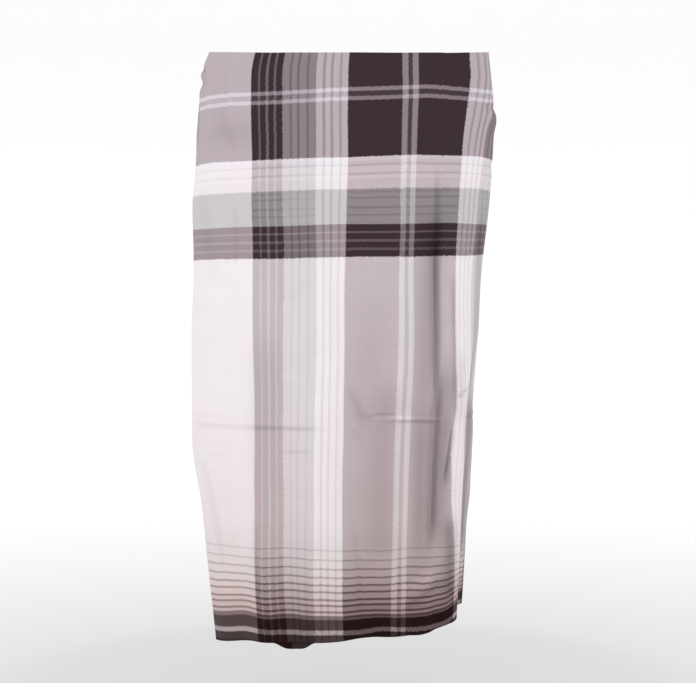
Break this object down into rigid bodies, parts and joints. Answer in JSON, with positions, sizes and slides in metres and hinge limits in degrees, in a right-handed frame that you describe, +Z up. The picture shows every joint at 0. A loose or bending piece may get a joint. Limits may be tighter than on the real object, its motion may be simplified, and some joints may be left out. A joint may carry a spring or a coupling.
{
  "type": "sarong",
  "caption": "Checked tube sarong in its hollow worn form, folded across the front, open at the waist and the hem.",
  "frame": {"origin": "middle of the waist opening, level with the waist edge at the sides", "axes": "+Z up out of the waist opening, -Y towards the front, +X towards the right side as seen from the front"},
  "size_m": [0.5328, 0.2722, 1.0338],
  "materials": {
    "checked_cotton": "matt plain-woven cotton"
  },
  "bodies": {
    "root": {"front_wrap": "checked_cotton", "back_wrap": "checked_cotton", "fold_return": "checked_cotton"}
  },
  "joints": []
}
